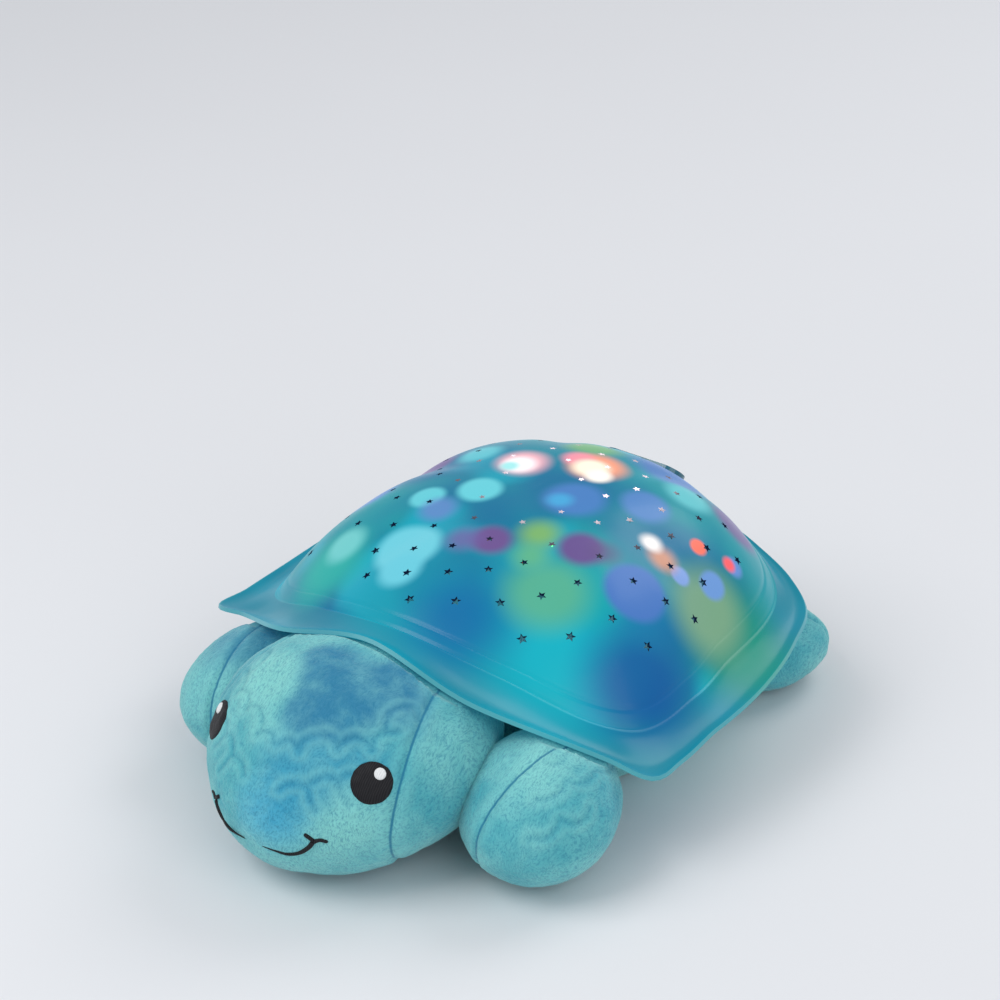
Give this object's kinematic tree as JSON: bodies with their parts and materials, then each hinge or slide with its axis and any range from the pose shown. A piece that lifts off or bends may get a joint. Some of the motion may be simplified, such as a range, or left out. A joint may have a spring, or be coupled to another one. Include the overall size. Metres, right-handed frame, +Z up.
{
  "type": "star night light projector",
  "caption": "Plush turtle night light with a hard translucent shell full of star holes, a lamp inside, a push-button panel and a battery door in the belly.",
  "frame": {"origin": "centre of the footprint's bounding box, on the ground", "axes": "+Z up, head towards -Y, the turtle's left side towards +X"},
  "size_m": [0.2688, 0.348, 0.1225],
  "materials": {
    "shell": "glossy translucent plastic",
    "tray": "matte",
    "steel": "zinc plated",
    "board": "solder resist",
    "led_red": "clear tinted",
    "led_green": "clear tinted",
    "led_blue": "clear tinted",
    "led_amber": "clear tinted",
    "panel": "gloss",
    "switch": "matte",
    "button": "satin",
    "housing": "matte",
    "cell": "satin sleeve",
    "contact": "nickel plated",
    "lead": "insulation",
    "plush": "short-pile velour",
    "eye": "satin embroidery"
  },
  "bodies": {
    "turtle": {"shell": "shell", "base_tray": "tray", "shell_screws": "steel", "housing_screws": "steel", "lamp_tower": "tray", "led_board": "board", "led_red": "led_red", "led_green": "led_green", "led_blue": "led_blue", "led_amber": "led_amber", "control_panel": "panel", "control_board": "board", "tact_switches": "switch", "battery_housing": "housing", "battery_1": "cell", "battery_2": "cell", "battery_3": "cell", "contact_springs": "contact", "contact_plates": "contact", "battery_lead": "lead", "lamp_lead": "lead", "torso": "plush", "head": "plush", "eye_left": "eye", "eye_right": "eye", "flipper_front_left": "plush", "flipper_front_right": "plush", "flipper_rear_left": "plush", "flipper_rear_right": "plush", "tail": "plush"},
    "button_power": {"button_power": "button"},
    "button_colour": {"button_colour": "button"},
    "button_timer": {"button_timer": "button"},
    "battery_door": {"battery_door": "housing"},
    "door_screw": {"door_screw": "steel"}
  },
  "joints": [
    {"name": "button_power_press", "type": "slide", "parent": "turtle", "child": "button_power", "axis": [0, 0.7056, 0.7086], "range_m": [-0.0008, 0], "stiffness_N_per_m": 400, "springref_m": 0.0003},
    {"name": "button_colour_press", "type": "slide", "parent": "turtle", "child": "button_colour", "axis": [0, 0.7056, 0.7086], "range_m": [-0.0008, 0], "stiffness_N_per_m": 400, "springref_m": 0.0003},
    {"name": "button_timer_press", "type": "slide", "parent": "turtle", "child": "button_timer", "axis": [0, 0.7056, 0.7086], "range_m": [-0.0008, 0], "stiffness_N_per_m": 400, "springref_m": 0.0003},
    {"name": "battery_door_hinge", "type": "hinge", "parent": "turtle", "child": "battery_door", "pos_m": [-0.02965, 0.048, 0.005], "axis": [0, 1, 0], "range_deg": [0, 80]},
    {"name": "door_screw_turn", "type": "hinge", "parent": "battery_door", "child": "door_screw", "pos_m": [0.03075, 0.048, 0.004], "axis": [0, 0, 1], "continuous": true}
  ]
}
